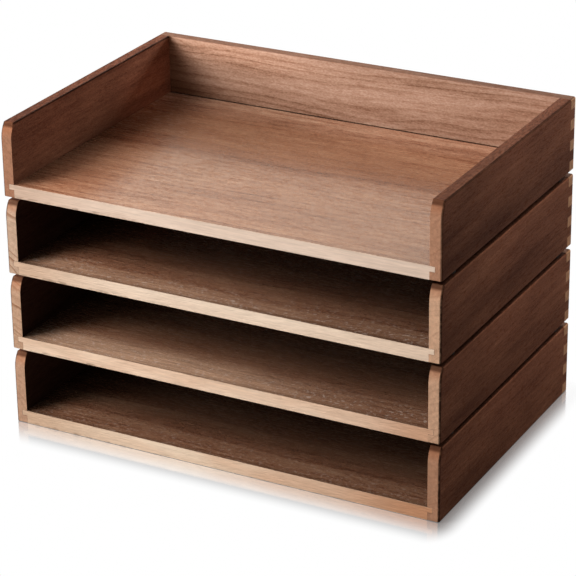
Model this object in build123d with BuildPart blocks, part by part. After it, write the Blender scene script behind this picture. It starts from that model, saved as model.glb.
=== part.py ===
from build123d import *
import os

# Stack of four open-front wooden letter trays, in millimetres.
# Each tray is a left side, a right side, a back and a bottom panel. The panel's tongue runs in
# grooves in the sides and the back, and the back is finger jointed to the sides.
# Small round pads under the upper three trays keep them a few millimetres apart.
# The origin is at the middle of the bottom tray's underside, +X to the right, +Y to the back.

# Outer size of one tray
tray_width = 345.0
tray_depth = 230.0
tray_height = 56.0

# Boards
side_thickness = 9.0
back_thickness = 9.0
panel_thickness = 10.0

# Tongue along three edges of the bottom panel, flush with the panel's upper face
tongue_thickness = 4.0
tongue_length = 4.0
groove_clearance = 0.1
# Fine dark joint left above the tongue, along the foot of the back
back_joint = 0.4

# Finger joint at each rear corner, counted over the tray's height, with the back's finger first
finger_count = 7
finger_clearance = 0.05

# Shaping. A side's front end curves back over its top few millimetres and meets the top in a
# crease, which is slightly rounded. The outer edges are rounded too, the lowest ones only a little.
shoulder_drop = 12.5
shoulder_setback = 4.6
crease_round = 1.2
edge_round = 1.5
bottom_round = 0.5

# Pads under each upper tray
pad_height = 4.0
pad_diameter = 6.5
pad_from_front = 26.0
pad_from_rear = 20.0

# Trays from the floor up
tray_names = ["bottom", "lower", "upper", "top"]

# Worked out from the sizes above
tray_pitch = tray_height + pad_height
half_width = tray_width / 2
half_depth = tray_depth / 2
inner_width = tray_width - 2 * side_thickness
inner_depth = tray_depth - back_thickness
back_face = half_depth - back_thickness
panel_middle = -half_depth + inner_depth / 2
tongue_low = panel_thickness - tongue_thickness
finger_height = tray_height / finger_count
back_fingers = range(0, finger_count, 2)
side_fingers = range(1, finger_count, 2)
shoulder_radius = (shoulder_drop**2 + shoulder_setback**2) / (2 * shoulder_setback)
flat_on_side = side_thickness - edge_round
pad_reach = half_width - edge_round - flat_on_side / 2
pad_front = -half_depth + pad_from_front
pad_rear = half_depth - pad_from_rear

os.makedirs("parts", exist_ok=True)


def write(part, name):
    part.label = name
    export_step(part, f"parts/{name}.step")


def outer_shape(floor):
    """The tray's outer block, eased all round except at its front."""
    with BuildPart() as block:
        with BuildSketch(Plane.XY.offset(floor)):
            Rectangle(tray_width, tray_depth)
        extrude(amount=tray_height)
        fillet(block.edges().filter_by(Axis.Z).group_by(Axis.Y)[-1], edge_round)
        for face_number, radius in ((-1, edge_round), (0, bottom_round)):
            level_edges = block.faces().sort_by(Axis.Z)[face_number].edges()
            front_edges = block.faces().sort_by(Axis.Y)[0].edges()
            fillet([edge for edge in level_edges if edge not in front_edges], radius)
    return block.part


def make_side(name, floor, hand):
    """One side board. hand is -1 for the left side and +1 for the right one."""
    inner_face = Plane.YZ.offset(hand * (half_width - side_thickness))
    top = floor + tray_height
    crease = (-half_depth + shoulder_setback, top)
    with BuildPart() as side:
        with BuildSketch(inner_face):
            with BuildLine():
                RadiusArc((-half_depth, top - shoulder_drop), crease, shoulder_radius)
                Polyline(
                    crease,
                    (half_depth, top),
                    (half_depth, floor),
                    (-half_depth, floor),
                    (-half_depth, top - shoulder_drop),
                )
            make_face()
            fillet(vertices().sort_by_distance(crease)[0], crease_round)
        extrude(amount=hand * side_thickness)
        outer_face = side.faces().filter_by(Axis.X).sort_by(Axis.X)[-1 if hand > 0 else 0]
        fillet(outer_face.edges().sort_by(Axis.Z)[1:], edge_round)
        outer_face = side.faces().filter_by(Axis.X).sort_by(Axis.X)[-1 if hand > 0 else 0]
        fillet(outer_face.edges().sort_by(Axis.Z)[0], bottom_round)
        # Sockets for the back's fingers
        with BuildSketch(inner_face):
            for step in back_fingers:
                with Locations((half_depth, floor + (step + 0.5) * finger_height)):
                    Rectangle(2 * (back_thickness + finger_clearance), finger_height + 2 * finger_clearance)
        extrude(amount=hand * side_thickness, mode=Mode.SUBTRACT)
        # Groove for the panel's tongue, open at the front end
        with BuildSketch(inner_face):
            with Locations((-half_depth, floor + tongue_low - groove_clearance)):
                Rectangle(
                    inner_depth + groove_clearance,
                    tongue_thickness + 2 * groove_clearance,
                    align=(Align.MIN, Align.MIN),
                )
        extrude(amount=hand * (tongue_length + groove_clearance), mode=Mode.SUBTRACT)
    write(side.part, name)


def make_back(name, floor, outer):
    """The back board, whose fingers run through to the sides' outer faces."""
    rear_plane = Plane.XZ.offset(-half_depth)
    with BuildPart() as back:
        with BuildSketch(rear_plane):
            with Locations((0, floor + tray_height / 2)):
                Rectangle(tray_width, tray_height)
        extrude(amount=back_thickness)
        # Sockets for the sides' fingers
        with BuildSketch(rear_plane):
            for step in side_fingers:
                for hand in (-1, 1):
                    with Locations((hand * half_width, floor + (step + 0.5) * finger_height)):
                        Rectangle(2 * side_thickness, finger_height)
        extrude(amount=back_thickness, mode=Mode.SUBTRACT)
        # Groove for the panel's tongue, between the sides
        with BuildSketch(Plane.XZ.offset(-back_face)):
            with Locations((0, floor + tongue_low - groove_clearance)):
                Rectangle(
                    inner_width,
                    groove_clearance + tongue_thickness + back_joint,
                    align=(Align.CENTER, Align.MIN),
                )
        extrude(amount=-(tongue_length + groove_clearance), mode=Mode.SUBTRACT)
        add(outer, mode=Mode.INTERSECT)
    write(back.part, name)


def make_panel(name, floor):
    """The bottom panel, flush with the boards' lower edges, with a tongue on three edges."""
    with BuildPart() as panel:
        with BuildSketch(Plane.XY.offset(floor)):
            with Locations((0, panel_middle)):
                Rectangle(inner_width, inner_depth)
        extrude(amount=panel_thickness)
        with BuildSketch(Plane.XY.offset(floor + tongue_low)):
            with Locations((0, panel_middle)):
                Rectangle(inner_width + 2 * tongue_length, inner_depth)
            with Locations((0, back_face)):
                Rectangle(inner_width, tongue_length, align=(Align.CENTER, Align.MIN))
        extrude(amount=tongue_thickness)
    write(panel.part, name)


def make_pad(name, floor, across, along):
    """One pad, between a tray's underside and the top of the side board below it."""
    with BuildPart() as pad:
        with BuildSketch(Plane.XY.offset(floor - pad_height)):
            with Locations((across, along)):
                Circle(pad_diameter / 2)
        extrude(amount=pad_height)
    write(pad.part, name)


for level, tray in enumerate(tray_names):
    floor = level * tray_pitch
    make_side(f"{tray}_left_side", floor, -1)
    make_side(f"{tray}_right_side", floor, 1)
    make_back(f"{tray}_back", floor, outer_shape(floor))
    make_panel(f"{tray}_panel", floor)
    if level == 0:
        continue
    for side_name, across in (("left", -pad_reach), ("right", pad_reach)):
        make_pad(f"{tray}_pad_front_{side_name}", floor, across, pad_front)
        make_pad(f"{tray}_pad_rear_{side_name}", floor, across, pad_rear)
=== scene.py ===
import math

import bpy
from mathutils import Matrix, Vector


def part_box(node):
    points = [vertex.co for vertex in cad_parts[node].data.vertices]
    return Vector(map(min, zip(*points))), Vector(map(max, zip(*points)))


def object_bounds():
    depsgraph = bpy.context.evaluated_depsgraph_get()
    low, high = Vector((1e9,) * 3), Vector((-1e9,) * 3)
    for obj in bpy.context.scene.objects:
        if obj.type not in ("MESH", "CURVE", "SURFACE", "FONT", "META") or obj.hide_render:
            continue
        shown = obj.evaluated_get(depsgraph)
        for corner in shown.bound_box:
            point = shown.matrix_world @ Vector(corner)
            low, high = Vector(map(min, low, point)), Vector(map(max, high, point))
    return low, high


# Dressing of the stack of four letter trays: wood, rubber, light, floor and camera.
# Lengths in the materials of the object are in millimetres, everything else is in metres.

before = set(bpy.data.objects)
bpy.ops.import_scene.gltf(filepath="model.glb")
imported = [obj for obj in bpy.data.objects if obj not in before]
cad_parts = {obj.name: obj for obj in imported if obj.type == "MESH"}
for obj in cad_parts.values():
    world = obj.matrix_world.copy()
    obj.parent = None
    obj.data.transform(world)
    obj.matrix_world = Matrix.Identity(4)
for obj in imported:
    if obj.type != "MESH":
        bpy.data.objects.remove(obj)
cad_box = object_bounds()

# Camera, worked out from the tray corners in the photograph
CAMERA_PLACE = Vector((0.8035, -1.4987, 0.8529))
CAMERA_YAW = math.radians(-28.30)
CAMERA_PITCH = math.radians(22.36)
CAMERA_ROLL = math.radians(-0.80)
CAMERA_LENS = 157.85
CAMERA_SENSOR = 36.0
CAMERA_SHIFT_UP = -0.125

# Easing of sharp edges
BOARD_EASE = 0.00012
PAD_EASE = 0.0008
PAD_EASE_SEGMENTS = 3
WELD_DISTANCE = 0.000002
FLAT_ANGLE = math.radians(0.4)
SHARP_ANGLE = math.radians(40)
FLAT_NORMAL_WEIGHT = 90

# Sizes repeated from the solids, in millimetres
SIDE_THICKNESS = 9.0
TONGUE = 4.0
SHOULDER_DROP = 12.5
SHOULDER_RADIUS = 19.3

# The oil finish gives a slightly warm gloss
GLOSS_TINT = (1.0, 0.84, 0.52, 1.0)

# Pores are filled with a redder brown than the wood
PORE_TONE = (0.45, 0.22, 0.12, 1.0)

# Painted shade: a left side's outer face is a little darker than a right one, against the low left lamp
OUTER_PAINTED_SHADE = {-1: 0.62, 1: 1.0}

# Tones of a side's inner face and top edge, and of a back's inner face. A side's inner face gets a
# painted shade, and the lower trays, deep in the shade, are painted dark inside and on their
# top edges.
SIDE_INSIDE = {"pale": ((0.69, 0.73, 0.77, 1.0), 0.52), "dark": ((0.2, 0.22, 0.26, 1.0), 0.3)}
BACK_INSIDE = {"pale": (1.02, 1.05, 1.07, 1.0), "dark": (0.17, 0.13, 0.12, 1.0)}

# The floor round the object: how far its shadow and its gloss reach, and how strong they are at the
# object. Sideways distances count more for the gloss.
SHADOW_REACH = 0.018
SHADOW_WHITE = 0.62
SHINE_REACH = 0.032
SHINE = 0.75
SIDEWAYS_WEIGHT = 1.7
FLOOR_HALF_SIZE = 6.0
FLOOR_DROP = 0.0002

# Light of the world on the object
WORLD_LIGHT = 0.1

# Lamps: degrees from the front to the right, degrees up, distance, width and height, level
LAMP_TARGET = Vector((0.0, 0.0, 0.12))
LAMPS = {
    "front": (-5.0, 3.0, 1.8, (0.6, 0.4), 0.46),
    "low_left": (-83.0, 18.4, 0.8, (0.2, 0.2), 1.2),
    "upper_left": (-48.0, 37.5, 1.2, (0.56, 0.56), 0.9),
    "behind": (164.0, 22.0, 1.3, (0.36, 0.36), 0.88),
}

# Trays from the floor up
TRAYS = ["bottom", "lower", "upper", "top"]


def linear(red, green, blue):
    """A colour given as the 0 to 255 values of a screen, for a node."""
    def channel(value):
        value = value / 255
        return value / 12.92 if value <= 0.04045 else ((value + 0.055) / 1.055) ** 2.4
    return (channel(red), channel(green), channel(blue), 1.0)


# Each tray's panel, front strip and side ends:
# rings: place of the pith across and up, ring width and sway. relief: depth of the pores.
# painted_glints: strength of the pale flecks painted as glints of light. arris: tone behind the
# front edge. tone, rear: tone of the panel and how much it changes at the back. skew: painted light
# and shade drifting from corner to corner. painted_front_light: reach and strength of the pale
# front, painted light that comes in under the tray above. dusk: where the painted shade of the tray
# above begins and its tone. beside: tone of the painted shadow of the left side, in front and at the
# rear, above 1 painted light. beside_reach: its width there. strip: colour. strip_left_shade:
# strength of the painted shade on its left end. amber: where it begins and its strength.
# ends: colour of the left and the right side's front end.
LOOKS = {
    "top": {
        "rings": ((46.0, -26.0), 6.5, 24.0), "relief": 0.3, "painted_glints": 0.0, "arris": 0.9,
        "tone": 1.07, "rear": 1.12, "skew": 0.25, "painted_front_light": (20.0, 0.0),
        "dusk": (-62.0, 1.0), "beside": (0.3, 1.6), "beside_reach": (32.0, 32.0),
        "strip": linear(218, 193, 174), "strip_left_shade": 0.68, "amber": (60.0, 0.05),
        "ends": (linear(151, 107, 83), linear(168, 123, 97)),
    },
    "upper": {
        "rings": ((60.0, -18.0), 7.5, 24.0), "relief": 1.0, "painted_glints": 0.4, "arris": 0.6,
        "tone": 0.72, "rear": 1.0, "skew": 0.3, "painted_front_light": (17.0, 0.38),
        "dusk": (-78.0, 0.45), "beside": (0.16, 0.8), "beside_reach": (30.0, 72.0),
        "strip": linear(229, 204, 181), "strip_left_shade": 0.95, "amber": (60.0, 0.0),
        "ends": (linear(180, 150, 127), linear(195, 154, 125)),
    },
    "lower": {
        "rings": ((-24.0, -22.0), 7.5, 24.0), "relief": 1.0, "painted_glints": 0.45, "arris": 0.65,
        "tone": 0.81, "rear": 1.0, "skew": 0.2, "painted_front_light": (26.0, 0.68),
        "dusk": (-62.0, 0.5), "beside": (0.16, 0.8), "beside_reach": (30.0, 115.0),
        "strip": linear(233, 205, 180), "strip_left_shade": 0.4, "amber": (60.0, 0.75),
        "ends": (linear(176, 140, 114), linear(187, 147, 119)),
    },
    "bottom": {
        "rings": ((80.0, -30.0), 7.0, 24.0), "relief": 1.0, "painted_glints": 0.2, "arris": 0.65,
        "tone": 0.59, "rear": 1.0, "skew": 0.0, "painted_front_light": (18.0, 0.0),
        "dusk": (-60.0, 0.5), "beside": (0.16, 0.8), "beside_reach": (30.0, 115.0),
        "strip": linear(229, 202, 176), "strip_left_shade": 0.95, "amber": (0.0, 0.95),
        "ends": (linear(172, 134, 109), linear(163, 120, 94)),
    },
}


class Nodes:
    """Adds nodes to one material and links them."""

    def __init__(self, name):
        self.material = bpy.data.materials.new(name)
        self.material.use_nodes = True
        self.tree = self.material.node_tree
        self.tree.nodes.clear()

    def feed(self, socket, value):
        if isinstance(value, bpy.types.NodeSocket):
            self.tree.links.new(value, socket)
        elif value is not None:
            socket.default_value = value

    def node(self, kind, inputs=None, **settings):
        made = self.tree.nodes.new(kind)
        for key, value in settings.items():
            setattr(made, key, value)
        for key, value in (inputs or {}).items():
            self.feed(made.inputs[key], value)
        return made

    def math(self, operation, a, b=None, c=None):
        made = self.tree.nodes.new("ShaderNodeMath")
        made.operation = operation
        for socket, value in zip(made.inputs, (a, b, c)):
            self.feed(socket, value)
        return made.outputs[0]

    def plus(self, a, b):
        return self.math("ADD", a, b)

    def minus(self, a, b):
        return self.math("SUBTRACT", a, b)

    def times(self, a, b):
        return self.math("MULTIPLY", a, b)

    def times_plus(self, a, b, c):
        return self.math("MULTIPLY_ADD", a, b, c)

    def size(self, a):
        return self.math("ABSOLUTE", a)

    def smaller(self, a, b):
        return self.math("MINIMUM", a, b)

    def larger(self, a, b):
        return self.math("MAXIMUM", a, b)

    def vector_math(self, operation, a, b=None):
        made = self.tree.nodes.new("ShaderNodeVectorMath")
        made.operation = operation
        self.feed(made.inputs[0], a)
        self.feed(made.inputs[1], b)
        return made.outputs["Value"] if operation == "LENGTH" else made.outputs[0]

    def split(self, vector):
        return self.node("ShaderNodeSeparateXYZ", {"Vector": vector}).outputs

    def join(self, x, y, z):
        return self.node("ShaderNodeCombineXYZ", {"X": x, "Y": y, "Z": z}).outputs[0]

    def step(self, value, low, high, to_low=0.0, to_high=1.0):
        """Smooth step of value from low to high, mapped to to_low and to_high."""
        inputs = {"Value": value, "From Min": low, "From Max": high, "To Min": to_low, "To Max": to_high}
        return self.node("ShaderNodeMapRange", inputs, interpolation_type="SMOOTHSTEP").outputs[0]

    def noise(self, vector, detail=2.0, roughness=0.5, colour=False):
        inputs = {"Vector": vector, "Scale": 1.0, "Detail": detail, "Roughness": roughness}
        made = self.node("ShaderNodeTexNoise", inputs)
        return made.outputs["Color"] if colour else made.outputs[0]

    def mix(self, factor, a, b, blend="MIX"):
        made = self.tree.nodes.new("ShaderNodeMix")
        made.data_type = "RGBA"
        made.blend_type = blend
        self.feed(made.inputs[0], factor)
        self.feed(made.inputs[6], a)
        self.feed(made.inputs[7], b)
        return made.outputs[2]

    def shade(self, colour, tone, factor=1.0):
        """Multiplies a colour by a tone, as far as factor says."""
        return self.mix(factor, colour, tone, "MULTIPLY")

    def tint(self, colour, amount, factor=1.0):
        """Multiplies a colour by a number, as far as factor says."""
        return self.shade(colour, self.join(amount, amount, amount), factor)

    def ramp(self, value, tones):
        """Colours between the given tones, as value goes from 0 to 1."""
        made = self.tree.nodes.new("ShaderNodeValToRGB")
        self.feed(made.inputs[0], value)
        stops = made.color_ramp.elements
        while len(stops) < len(tones):
            stops.new(0.5)
        for number, tone in enumerate(tones):
            stops[number].position = number / (len(tones) - 1)
            stops[number].color = tone
        return made.outputs[0]

    def finish(self, colour, roughness, height, specular):
        """Ends the material. height is the surface's relief in millimetres."""
        bump = self.node("ShaderNodeBump", {"Height": height, "Distance": 0.001, "Strength": 1.0})
        inputs = {
            "Base Color": colour,
            "Roughness": roughness,
            "Specular IOR Level": specular,
            "Specular Tint": GLOSS_TINT,
            "Normal": bump.outputs[0],
        }
        shader = self.node("ShaderNodeBsdfPrincipled", inputs)
        output = self.node("ShaderNodeOutputMaterial")
        self.tree.links.new(shader.outputs[0], output.inputs["Surface"])
        return self.material


class Board:
    """Position on one board in millimetres from its middle, as along, across and up the grain."""

    def __init__(self, nodes, node_name, grain_axis, seed):
        low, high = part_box(node_name)
        half = (high - low) * 500
        coordinates = nodes.node("ShaderNodeTexCoord")
        place = nodes.vector_math("SUBTRACT", coordinates.outputs["Object"], tuple((low + high) / 2))
        x, y, z = nodes.split(nodes.vector_math("MULTIPLY", place, (1000.0, 1000.0, 1000.0)))
        normal_x, normal_y, normal_z = nodes.split(coordinates.outputs["Normal"])
        self.nodes = nodes
        self.seed = seed
        if grain_axis == "X":
            self.along, self.across, self.up = x, y, z
            self.half = (half.x, half.y, half.z)
            self.normal = (normal_x, normal_y, normal_z)
        else:
            self.along, self.across, self.up = y, x, z
            self.half = (half.y, half.x, half.z)
            self.normal = (normal_y, normal_x, normal_z)

    def noise(self, along, across, offset, detail=2.0, roughness=0.5, colour=False):
        """Noise with that many cells a millimetre along and across the grain."""
        nodes = self.nodes
        vector = nodes.join(
            nodes.times_plus(self.along, along, self.seed * 7.31 + offset),
            nodes.times_plus(self.across, across, self.seed * 3.17 + offset),
            nodes.times_plus(self.up, across, self.seed * 5.73),
        )
        return nodes.noise(vector, detail, roughness, colour)

    def from_left(self, margin):
        """How far a point of a back or a panel is to the right of a line margin inside its left end."""
        return self.nodes.plus(self.along, self.half[0] - margin)

    def edge_closeness(self, reach):
        """1 on the board's edges, falling to 0 at reach millimetres from them."""
        nodes = self.nodes
        near = []
        for value, half in zip((self.along, self.across, self.up), self.half):
            near.append(nodes.minus(half, nodes.size(value)))
        first = nodes.smaller(near[0], near[1])
        second = nodes.smaller(nodes.larger(near[0], near[1]), near[2])
        return nodes.step(nodes.larger(first, second), 0.0, reach, 1.0, 0.0)

    def side_edge_closeness(self, reach, hand, with_top):
        """The same for the ends of a side board's outer face and, if wanted, for its top edge. The
        left board's inner top edge is then included too, a little wider, as a painted shadow line."""
        nodes = self.nodes
        outward = nodes.times(self.across, hand)
        from_outer = nodes.minus(self.half[1], outward)
        from_top = nodes.minus(self.half[2], self.up)
        from_edge = nodes.smaller(self.behind_front(), nodes.minus(self.half[0], self.along))
        if with_top:
            from_edge = nodes.smaller(from_edge, from_top)
        from_edge = nodes.larger(from_edge, from_outer)
        # A painted shadow line along the left board's inner top edge
        if with_top and hand < 0:
            inner_offset = 0.2
            from_inner = nodes.plus(nodes.plus(self.half[1], outward), inner_offset)
            from_edge = nodes.smaller(from_edge, nodes.larger(from_inner, from_top))
        return nodes.step(from_edge, 0.5 * reach, reach, 1.0, 0.0)

    def behind_front(self):
        """How far a point of a side board is behind its curved front end."""
        nodes = self.nodes
        climb = nodes.larger(nodes.minus(self.up, self.half[2] - SHOULDER_DROP), 0.0)
        setback = nodes.times(nodes.times(climb, climb), 0.5 / SHOULDER_RADIUS)
        return nodes.minus(nodes.plus(self.along, self.half[0]), setback)


def growth_rings(board, pith, ring_width, sway):
    """Dark latewood lines, and slow bands of tone from ring to ring, around a wandering pith line."""
    nodes = board.nodes
    around = nodes.join(0.0, nodes.minus(board.across, pith[0]), nodes.minus(board.up, pith[1]))
    for along, across, offset, reach in ((0.0045, 0.011, 0.0, sway), (0.022, 0.11, 3.3, 1.7)):
        shift = board.noise(along, across, offset, colour=True)
        shift = nodes.vector_math("SUBTRACT", shift, (0.5, 0.5, 0.5))
        around = nodes.vector_math("ADD", around, nodes.vector_math("MULTIPLY", shift, (0.0, reach, reach)))
    distance = nodes.vector_math("LENGTH", around)
    drift = nodes.noise(nodes.join(nodes.times(distance, 0.07), board.seed, 0.0), 1.0, 0.5)
    turn = nodes.times_plus(drift, 3.0, nodes.math("DIVIDE", distance, ring_width))
    phase = nodes.math("FRACT", turn)
    line = nodes.times(nodes.step(phase, 0.45, 0.9), nodes.step(phase, 0.93, 1.0, 1.0, 0.0))
    uneven = nodes.noise(nodes.join(nodes.times(turn, 0.8), board.seed + 4.0, 0.0), 2.0, 0.6)
    line = nodes.times(line, nodes.step(uneven, 0.35, 0.65, 0.15, 1.0))
    band = nodes.noise(nodes.join(nodes.times(turn, 0.21), board.seed + 9.0, 0.0), 3.0, 0.6)
    return line, nodes.step(band, 0.34, 0.66)


def solid_wood(board, rings, tones, weights, relief):
    """Colour, roughness and relief of oiled walnut. tones run from the darkest grain to the palest,
    and weights say how much each layer of the figure shows."""
    nodes = board.nodes
    line, band = growth_rings(board, *rings)
    layers = {
        "cloud": board.noise(0.009, 0.03, 5.0),
        "wide": board.noise(0.008, 0.12, 1.0),
        "streak": board.noise(0.03, 0.42, 8.0),
        "fine": board.noise(0.1, 0.8, 9.0, 3.0, 0.6),
        "fibre": board.noise(0.5, 1.0, 3.0, 3.0, 0.7),
        "band": band,
    }
    grain = 0.5
    for name, layer in layers.items():
        grain = nodes.times_plus(nodes.minus(layer, 0.5), weights[name], grain)
    grain = nodes.times_plus(line, -weights["line"], grain)
    coarse = nodes.step(board.noise(0.13, 0.75, 6.0, 1.0), 0.52, 0.7)
    fine_pore = nodes.step(board.noise(0.3, 2.2, 7.0, 1.0), 0.55, 0.7)
    pore = nodes.larger(coarse, nodes.times(fine_pore, 0.7))
    ring_pore = nodes.times(line, nodes.step(board.noise(0.3, 0.4, 17.0, 2.0, 0.6), 0.42, 0.6))
    filled = nodes.times_plus(ring_pore, weights["ring_pore"], nodes.times(pore, weights["pore"]))
    colour = nodes.shade(nodes.ramp(grain, tones), PORE_TONE, filled)
    roughness = nodes.times_plus(layers["cloud"], 0.08, 0.12)
    roughness = nodes.times_plus(pore, 0.2, roughness)
    height = nodes.times(pore, -0.14 * relief)
    height = nodes.times_plus(line, 0.012 * relief, height)
    height = nodes.times_plus(layers["fine"], 0.02 * relief, height)
    return {"colour": colour, "roughness": roughness, "height": height, "line": line, **layers}


def end_grain(board, wood, colour, ring_lines):
    """Where the boards are cut across, the rings show on a tone of their own."""
    nodes = board.nodes
    cut = nodes.step(nodes.size(board.normal[0]), 0.45, 0.8)
    end = nodes.mix(nodes.times(wood["line"], ring_lines), colour, linear(122, 76, 50))
    mottle = board.noise(0.35, 0.35, 12.0, 3.0, 0.6)
    end = nodes.tint(end, nodes.step(mottle, 0.3, 0.7, 0.88, 1.1))
    end = nodes.tint(end, nodes.step(wood["fine"], 0.3, 0.7, 0.93, 1.06))
    return nodes.mix(cut, wood["colour"], end)


def worn_edges_and_shadow_lines(board, wood, colour, tone, closeness, strength):
    """Edges change tone where hands and sanding have worn them; on a left side's inner top edge the
    dark tone is a painted shadow line.
    """
    nodes = board.nodes
    patchy = nodes.step(board.noise(0.05, 0.3, 2.0, 3.0, 0.6), 0.3, 0.6, 0.6, 1.0)
    worn = nodes.times(closeness, patchy)
    wood["roughness"] = nodes.times_plus(worn, -0.05, wood["roughness"])
    return nodes.mix(nodes.times(worn, strength), colour, tone)


def side_tones(board, colour, hand, inside):
    """Drifts of tone and painted light over a side board, and the tones and painted shade of its inner,
    outer and upper faces.
    """
    nodes = board.nodes
    inward = nodes.step(nodes.times(board.normal[1], -hand), 0.6, 0.9)
    upward = nodes.step(board.normal[2], 0.6, 0.9)
    # Paler towards the top and the rear, painted light from above and behind, with a pale patch in
    # the middle of the outer face
    painted_top_light = nodes.step(board.up, -board.half[2], board.half[2], 0.84, 1.28)
    painted_rear_light = nodes.step(board.along, -board.half[0], board.half[0], 0.86, 1.22)
    patch = nodes.step(nodes.size(nodes.plus(board.along, 8.0)), 10.0, 60.0, 0.22, 0.0)
    patch = nodes.times(patch, nodes.minus(1.0, nodes.larger(inward, upward)))
    patch = nodes.times_plus(patch, nodes.step(board.up, -6.0, 10.0), 1.0)
    colour = nodes.tint(colour, nodes.times(nodes.times(painted_top_light, painted_rear_light), patch))
    # The inner face gets painted shade, more in the middle, and painted light at the foot of its rear end
    inner_tone, top_tone = inside
    colour = nodes.shade(colour, inner_tone, inward)
    middle = nodes.step(nodes.size(nodes.plus(board.along, 4.0)), 15.0, 60.0, 0.8, 1.0)
    foot = nodes.step(board.along, 5.0, 80.0, 0.0, 0.8)
    foot = nodes.times(foot, nodes.step(board.up, 2.0, 20.0, 1.0, 0.0))
    colour = nodes.tint(colour, nodes.plus(middle, foot), inward)
    # Painted shade on the outer face of a left side
    outward = nodes.times(board.normal[1], hand)
    colour = nodes.tint(colour, nodes.step(outward, 0.6, 0.9, 1.0, OUTER_PAINTED_SHADE[hand]))
    # The top edge is darker and flecked; in the lower trays, darker still with painted shade
    fleck = nodes.step(board.noise(0.25, 0.5, 14.0, 3.0, 0.7), 0.35, 0.65, 0.72, 1.3)
    return nodes.tint(colour, nodes.times(fleck, top_tone), upward)


def burnished_shoulder(board, colour):
    """The curved shoulder of a side is burnished, darkest just under the crease."""
    nodes = board.nodes
    top = board.half[2]
    near_front = nodes.step(board.behind_front(), 0.2, 1.4, 1.0, 0.0)
    glow = nodes.times(near_front, nodes.step(board.up, top - 12.0, top - 3.5, 0.0, 0.55))
    band = nodes.times(near_front, nodes.step(board.up, top - 4.4, top - 2.2, 0.0, 0.85))
    colour = nodes.mix(glow, colour, linear(146, 90, 60))
    return nodes.mix(band, colour, linear(74, 42, 28))


def side_material(node_name, seed, hand, end_colour, inside, ring_lines, is_top):
    """Darker walnut of the side boards, grain from front to back. inside holds the tones of the
    inner face and the top edge, and ring_lines is how much the rings show at the front end."""
    nodes = Nodes(f"walnut_{node_name}")
    board = Board(nodes, node_name, "Y", seed)
    tones = (linear(90, 50, 36), linear(120, 74, 55), linear(145, 93, 69), linear(176, 118, 89))
    weights = {"cloud": 1.0, "wide": 0.6, "streak": 0.3, "fine": 0.5, "fibre": 0.9, "band": 0.1,
               "line": 0.08, "pore": 0.27, "ring_pore": 0.15}
    wood = solid_wood(board, ((hand * 34.0, -58.0), 4.4, 30.0), tones, weights, 0.5)
    wood["colour"] = side_tones(board, wood["colour"], hand, inside)
    colour = end_grain(board, wood, end_colour, ring_lines)
    colour = burnished_shoulder(board, colour)
    closeness = board.side_edge_closeness(1.6, hand, is_top)
    strength = 0.6 if is_top and hand > 0 else 0.95
    colour = worn_edges_and_shadow_lines(board, wood, colour, linear(38, 22, 15), closeness, strength)
    return nodes.finish(colour, nodes.plus(wood["roughness"], 0.25), wood["height"], 0.015)


def back_inner_face_with_painted_shade(board, colour, inner_tone):
    """The inner face of a back: a painted shadow of the left side in the corner at the left, wider
    at its foot, and painted light on the upper part beside it."""
    nodes = board.nodes
    reach = nodes.larger(nodes.times_plus(board.up, -2.3, 64.0), 6.0)
    corner = nodes.math("DIVIDE", board.from_left(SIDE_THICKNESS), reach)
    colour = nodes.shade(colour, (0.27, 0.19, 0.145, 1.0), nodes.step(corner, 0.0, 1.0, 1.0, 0.0))
    pale = nodes.step(board.up, 6.0, 20.0, 0.0, 0.32)
    pale = nodes.times(pale, nodes.step(board.along, -110.0, 0.0, 1.0, 0.0))
    return nodes.shade(nodes.tint(colour, nodes.plus(pale, 1.0)), inner_tone)


def back_material(node_name, seed, inner_tone):
    """The back boards, grain from left to right. inner_tone is the tone of the face in the tray."""
    nodes = Nodes(f"walnut_{node_name}")
    board = Board(nodes, node_name, "X", seed)
    tones = (linear(108, 74, 56), linear(146, 109, 88), linear(170, 134, 113), linear(190, 157, 138))
    weights = {"cloud": 0.5, "wide": 0.75, "streak": 0.3, "fine": 0.45, "fibre": 0.9, "band": 0.25,
               "line": 0.3, "pore": 0.23, "ring_pore": 0.15}
    wood = solid_wood(board, ((30.0, -30.0), 5.0, 26.0), tones, weights, 0.6)
    inner = back_inner_face_with_painted_shade(board, wood["colour"], inner_tone)
    # The rear face is darker, and the top edge a little less so
    rear = nodes.shade(wood["colour"], (0.52, 0.44, 0.38, 1.0))
    wood["colour"] = nodes.mix(nodes.step(board.normal[1], -0.8, -0.5), inner, rear)
    upward = nodes.step(board.normal[2], 0.6, 0.9)
    top = nodes.shade(rear, (1.2, 1.12, 1.08, 1.0))
    wood["colour"] = nodes.mix(upward, wood["colour"], top)
    # The fingers' left ends are duller than the right ones: painted shade against the low left lamp
    ends = nodes.tint(linear(226, 166, 124), nodes.step(board.normal[0], -0.9, -0.6, 0.55, 1.0))
    colour = end_grain(board, wood, ends, 0.3)
    colour = worn_edges_and_shadow_lines(board, wood, colour, linear(112, 74, 54), board.edge_closeness(0.7), 0.5)
    return nodes.finish(colour, nodes.plus(wood["roughness"], 0.2), wood["height"], 0.05)


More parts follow.
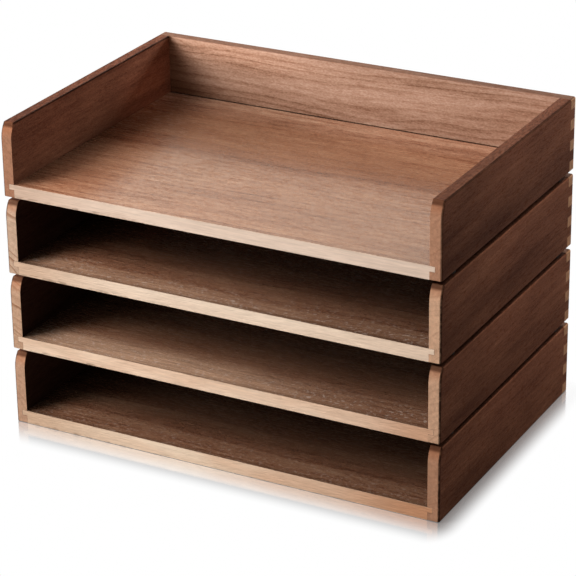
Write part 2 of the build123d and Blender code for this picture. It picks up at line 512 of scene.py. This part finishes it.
def panel_figure(board, wood, look):
    """The panel's wood: redder heartwood across the middle, a painted drift of light and shade from
    corner to corner, painted light on the pale front and pale flecks painted as glints behind the
    front edge."""
    nodes = board.nodes
    front_line = -board.half[1]
    heart = nodes.step(board.across, -40.0, 15.0)
    heart = nodes.times(heart, nodes.step(board.across, 15.0, 90.0, 1.0, 0.0))
    colour = nodes.shade(wood["colour"], (0.83, 0.72, 0.65, 1.0), heart)
    tone, skew = look["tone"], look["skew"]
    colour = nodes.tint(colour, nodes.step(board.across, 50.0, 100.0, tone, look["rear"] * tone))
    # Painted light and shade drifting from corner to corner
    sideways = nodes.step(board.along, -board.half[0], 0.9 * board.half[0], 1.0, -0.6)
    drift = nodes.times_plus(sideways, nodes.step(board.across, -100.0, 105.0, skew, -skew), 1.0)
    colour = nodes.tint(colour, drift)
    # Painted light on the pale front, where light comes in under the tray above
    reach, strength = look["painted_front_light"]
    pale = nodes.step(board.across, front_line + 0.5 * reach, front_line + 1.5 * reach, strength, 0.0)
    pale = nodes.times(pale, nodes.step(board.along, -60.0, 140.0, 1.0, 0.1))
    front_light_colour = nodes.tint(linear(208, 168, 138), nodes.step(wood["streak"], 0.3, 0.7, 0.75, 1.15))
    colour = nodes.mix(pale, colour, front_light_colour)
    # Pale flecks painted as glints of light behind the front edge
    painted_glint_mask = nodes.step(board.noise(0.4, 0.4, 16.0, 2.0, 0.6), 0.56, 0.68, 0.0, look["painted_glints"])
    painted_glint_mask = nodes.times(painted_glint_mask, nodes.step(board.across, front_line + 8.0, front_line + 40.0, 1.0, 0.0))
    return nodes.mix(painted_glint_mask, colour, linear(228, 206, 192))


def panel_shade(board, colour, look):
    """Painted shade under the tray above and a painted shadow of the left side, with painted light
    along the back, a shade behind the front edge, a dark line in the joint along the back and painted
    shade on the underside."""
    nodes = board.nodes
    front_line = -board.half[1]
    foot = board.half[1] - TONGUE
    # Painted shade under the tray above
    dusk_from, dusk_tone = look["dusk"]
    colour = nodes.tint(colour, nodes.step(board.across, dusk_from, -28.0, 1.0, dusk_tone))
    # Painted shadow of the left side, and painted light at the rear of it in the top tray
    reach = nodes.step(board.across, -98.0, -32.0, *look["beside_reach"])
    beside = nodes.math("DIVIDE", board.from_left(TONGUE), reach)
    beside = nodes.step(beside, 0.0, 1.0, 1.0, 0.0)
    beside = nodes.times(beside, nodes.step(board.across, -114.0, -94.0, 0.6, 1.0))
    change = nodes.minus(nodes.step(board.across, -20.0, 80.0, *look["beside"]), 1.0)
    colour = nodes.tint(colour, nodes.times_plus(beside, change, 1.0))
    # Painted light along the back
    painted_back_light = nodes.step(board.across, 68.0, 88.0)
    colour = nodes.shade(colour, (1.15, 1.32, 1.5, 1.0), painted_back_light)
    behind_edge = nodes.step(board.across, front_line + 1.0, front_line + 6.0, look["arris"], 1.0)
    colour = nodes.tint(colour, behind_edge)
    joint = nodes.step(board.across, foot - 1.8, foot - 0.8, 0.0, 0.85)
    colour = nodes.mix(joint, colour, linear(52, 30, 20))
    # Painted shade on the underside
    return nodes.tint(colour, nodes.step(board.normal[2], -0.9, -0.6, 0.35, 1.0))


def panel_strip(board, wood, look):
    """The pale strip along the panel's front edge, with painted shade at its left end and amber to the
    right, with fine fibres and a rough lower edge."""
    nodes = board.nodes
    amber_from, amber = look["amber"]
    lower_edge = -board.half[2]
    strip = nodes.mix(nodes.times(wood["line"], 0.14), look["strip"], linear(150, 108, 80))
    blotch = nodes.times(nodes.step(wood["cloud"], 0.45, 0.7), 0.15 + 0.5 * amber)
    strip = nodes.mix(blotch, strip, linear(203, 158, 127))
    amber_side = nodes.step(board.along, amber_from, board.half[0], 0.0, amber)
    strip = nodes.mix(amber_side, strip, linear(184, 129, 94))
    # Painted shade on the strip's left end, against the lamps on the left
    painted_left_shade = nodes.step(board.along, -board.half[0], -50.0, look["strip_left_shade"], 0.0)
    strip = nodes.shade(strip, (0.66, 0.56, 0.5, 1.0), painted_left_shade)
    fibres = nodes.step(board.noise(0.03, 1.1, 19.0, 2.0, 0.6), 0.35, 0.6, 0.9, 1.04)
    strip = nodes.tint(strip, fibres)
    strip = nodes.tint(strip, nodes.step(wood["fine"], 0.3, 0.7, 0.93, 1.05))
    rough = nodes.step(board.noise(0.12, 0.5, 23.0, 2.0, 0.6), 0.5, 0.62)
    rough = nodes.times(rough, nodes.step(board.up, lower_edge + 0.8, lower_edge + 2.4, 0.5, 0.0))
    rough = nodes.times(rough, nodes.step(board.along, -120.0, 0.0, 1.0, 0.1))
    return nodes.mix(rough, strip, linear(92, 58, 40))


def panel_material(node_name, seed, look):
    """The bottom panels, grain from left to right, with a pale strip along the front edge."""
    nodes = Nodes(f"walnut_{node_name}")
    board = Board(nodes, node_name, "X", seed)
    tones = (linear(110, 65, 44), linear(154, 103, 76), linear(179, 130, 100), linear(209, 163, 129))
    weights = {"cloud": 0.5, "wide": 0.45, "streak": 0.5, "fine": 0.9, "fibre": 1.2, "band": 0.3,
               "line": 0.16, "pore": 0.3, "ring_pore": 0.2}
    wood = solid_wood(board, look["rings"], tones, weights, look["relief"])
    wood["colour"] = panel_shade(board, panel_figure(board, wood, look), look)
    colour = end_grain(board, wood, linear(176, 140, 114), 0.3)
    front = nodes.step(board.normal[1], -0.85, -0.6, 1.0, 0.0)
    colour = nodes.mix(front, colour, panel_strip(board, wood, look))
    colour = worn_edges_and_shadow_lines(board, wood, colour, linear(206, 178, 152), board.edge_closeness(0.8), 0.25)
    roughness = nodes.times_plus(front, 0.35, wood["roughness"])
    return nodes.finish(colour, roughness, wood["height"], 1.0)


def rubber_material(node_name, seed):
    """Black rubber of a pad, with a fine grain and a little dust at its rims."""
    nodes = Nodes(f"rubber_{node_name}")
    board = Board(nodes, node_name, "X", seed)
    grain = board.noise(3.0, 3.0, 0.0, 3.0, 0.6)
    dust = board.noise(0.6, 0.6, 2.0)
    colour = nodes.mix(nodes.step(grain, 0.3, 0.7), linear(22, 21, 21), linear(36, 34, 33))
    rim = nodes.step(nodes.size(board.up), board.half[2] - 0.9, board.half[2] - 0.2)
    dusty = nodes.times(rim, nodes.step(dust, 0.4, 0.7, 0.0, 0.45))
    colour = nodes.mix(dusty, colour, linear(78, 72, 66))
    roughness = nodes.times_plus(grain, 0.25, 0.55)
    return nodes.finish(colour, roughness, nodes.times(grain, 0.06), 0.4)


def dress(node_name, material, ease, segments=2):
    """Gives a CAD node its material and eases its sharp edges."""
    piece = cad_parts[node_name]
    for slot in piece.material_slots:
        slot.material = material
    weld = piece.modifiers.new("weld", "WELD")
    weld.merge_threshold = WELD_DISTANCE
    flat = piece.modifiers.new("flat", "DECIMATE")
    flat.decimate_type = "DISSOLVE"
    flat.angle_limit = FLAT_ANGLE
    eased = piece.modifiers.new("ease", "BEVEL")
    eased.width = ease
    eased.segments = segments
    eased.limit_method = "ANGLE"
    eased.angle_limit = SHARP_ANGLE
    normals = piece.modifiers.new("normals", "WEIGHTED_NORMAL")
    normals.weight = FLAT_NORMAL_WEIGHT


def dress_trays():
    for level, tray in enumerate(TRAYS):
        seed = 11.0 + 4.7 * level
        look = LOOKS[tray]
        is_top = tray == "top"
        # The lower trays take the dark tones, painted shade inside them
        inside = "pale" if is_top else "dark"
        for side, hand, end_colour in zip(("left_side", "right_side"), (-1, 1), look["ends"]):
            node_name = f"{tray}_{side}"
            ring_lines = 0.8 if hand < 0 and tray in ("upper", "lower") else 0.25
            material = side_material(node_name, seed + 0.9 * hand, hand, end_colour,
                                     SIDE_INSIDE[inside], ring_lines, is_top)
            dress(node_name, material, BOARD_EASE)
        node_name = f"{tray}_back"
        dress(node_name, back_material(node_name, seed + 2.9, BACK_INSIDE[inside]), BOARD_EASE)
        node_name = f"{tray}_panel"
        dress(node_name, panel_material(node_name, seed + 3.8, look), BOARD_EASE)


def dress_pads():
    for level, tray in enumerate(TRAYS[1:]):
        for end in ("front", "rear"):
            for number, side in enumerate(("left", "right")):
                node_name = f"{tray}_pad_{end}_{side}"
                material = rubber_material(node_name, 3.0 + level + 0.4 * number)
                dress(node_name, material, PAD_EASE, PAD_EASE_SEGMENTS)


def footprint_distances(nodes, place):
    """How far a floor point is outside the object's footprint, in metres, and the same with
    distances to the sides counted more than those to the front."""
    x, y = nodes.split(place)[:2]
    high = cad_box[1]
    out_x = nodes.larger(nodes.minus(nodes.size(x), high.x), 0.0)
    out_y = nodes.larger(nodes.minus(nodes.size(y), high.y), 0.0)
    away = nodes.vector_math("LENGTH", nodes.join(out_x, out_y, 0.0))
    wide_x = nodes.times(out_x, SIDEWAYS_WEIGHT)
    return away, nodes.vector_math("LENGTH", nodes.join(wide_x, out_y, 0.0))


def floor_material():
    """Seen as white by the camera, with the object's shadow and a faint gloss close to it."""
    nodes = Nodes("floor_white")
    white = (1.0, 1.0, 1.0, 1.0)
    place = nodes.node("ShaderNodeTexCoord").outputs["Object"]
    away, mostly_aside = footprint_distances(nodes, place)
    seen = nodes.node("ShaderNodeLightPath").outputs["Is Camera Ray"]
    plain = nodes.mix(nodes.noise(place), (0.20, 0.20, 0.20, 1.0), (0.22, 0.22, 0.22, 1.0))
    colour = nodes.mix(seen, plain, (0.95, 0.95, 0.95, 1.0))
    matt = nodes.node("ShaderNodeBsdfDiffuse", {"Color": colour}).outputs[0]
    bright = nodes.node("ShaderNodeEmission", {"Color": white, "Strength": 1.0}).outputs[0]
    gloss = nodes.node("ShaderNodeBsdfGlossy", {"Color": white, "Roughness": 0.12}).outputs[0]
    whiten = nodes.times(nodes.step(away, 0.0, SHADOW_REACH, SHADOW_WHITE, 1.0), seen)
    lit = nodes.node("ShaderNodeMixShader", {0: whiten, 1: matt, 2: bright}).outputs[0]
    shine = nodes.times(nodes.step(mostly_aside, 0.0, SHINE_REACH, SHINE, 0.0), seen)
    surface = nodes.node("ShaderNodeMixShader", {0: shine, 1: lit, 2: gloss}).outputs[0]
    output = nodes.node("ShaderNodeOutputMaterial")
    nodes.tree.links.new(surface, output.inputs["Surface"])
    return nodes.material


def make_floor():
    size = FLOOR_HALF_SIZE
    corners = [(-size, -size, 0.0), (size, -size, 0.0), (size, size, 0.0), (-size, size, 0.0)]
    mesh = bpy.data.meshes.new("floor")
    mesh.from_pydata(corners, [], [(0, 1, 2, 3)])
    floor = bpy.data.objects.new("floor", mesh)
    bpy.context.scene.collection.objects.link(floor)
    floor.location.z = -FLOOR_DROP
    mesh.materials.append(floor_material())


def make_world():
    """White for the camera and in reflections, a dim grey as light."""
    world = bpy.data.worlds.new("studio")
    bpy.context.scene.world = world
    world.use_nodes = True
    tree = world.node_tree
    tree.nodes.clear()
    light_path = tree.nodes.new("ShaderNodeLightPath")
    white_rays = tree.nodes.new("ShaderNodeMath")
    white_rays.operation = "MAXIMUM"
    strength = tree.nodes.new("ShaderNodeMapRange")
    strength.inputs["To Min"].default_value = WORLD_LIGHT
    strength.inputs["To Max"].default_value = 1.0
    background = tree.nodes.new("ShaderNodeBackground")
    background.inputs["Color"].default_value = (1.0, 1.0, 1.0, 1.0)
    output = tree.nodes.new("ShaderNodeOutputWorld")
    tree.links.new(light_path.outputs["Is Camera Ray"], white_rays.inputs[0])
    tree.links.new(light_path.outputs["Is Glossy Ray"], white_rays.inputs[1])
    tree.links.new(white_rays.outputs[0], strength.inputs["Value"])
    tree.links.new(strength.outputs[0], background.inputs["Strength"])
    tree.links.new(background.outputs[0], output.inputs["Surface"])


def soft_box(name, azimuth, elevation, distance, size, level):
    """A rectangular lamp that shows no highlight of its own. level is how bright a white matt
    surface that faces it looks."""
    data = bpy.data.lights.new(name, "AREA")
    data.shape = "RECTANGLE"
    data.size, data.size_y = size
    data.energy = level * math.pi**2 * distance**2
    lamp = bpy.data.objects.new(name, data)
    lamp.visible_glossy = False
    bpy.context.scene.collection.objects.link(lamp)
    turn, rise = math.radians(azimuth), math.radians(elevation)
    away = Vector((math.sin(turn) * math.cos(rise), -math.cos(turn) * math.cos(rise), math.sin(rise)))
    lamp.location = LAMP_TARGET + away * distance
    lamp.rotation_euler = away.to_track_quat("Z", "Y").to_euler()


def make_camera():
    data = bpy.data.cameras.new("camera")
    data.sensor_width = CAMERA_SENSOR
    data.lens = CAMERA_LENS
    data.shift_y = CAMERA_SHIFT_UP
    camera = bpy.data.objects.new("camera", data)
    bpy.context.scene.collection.objects.link(camera)
    right = Vector((math.cos(CAMERA_YAW), -math.sin(CAMERA_YAW), 0.0))
    ahead = Vector((math.sin(CAMERA_YAW), math.cos(CAMERA_YAW), 0.0)) * math.cos(CAMERA_PITCH)
    ahead.z = -math.sin(CAMERA_PITCH)
    up = right.cross(ahead)
    rolled_right = right * math.cos(CAMERA_ROLL) + up * math.sin(CAMERA_ROLL)
    rolled_up = up * math.cos(CAMERA_ROLL) - right * math.sin(CAMERA_ROLL)
    turn = Matrix((rolled_right, rolled_up, -ahead)).transposed().to_4x4()
    camera.matrix_world = Matrix.Translation(CAMERA_PLACE) @ turn
    bpy.context.scene.camera = camera


bpy.context.scene.view_settings.view_transform = "Standard"
dress_trays()
dress_pads()
make_floor()
make_world()
for lamp_name, placing in LAMPS.items():
    soft_box(lamp_name, *placing)
make_camera()
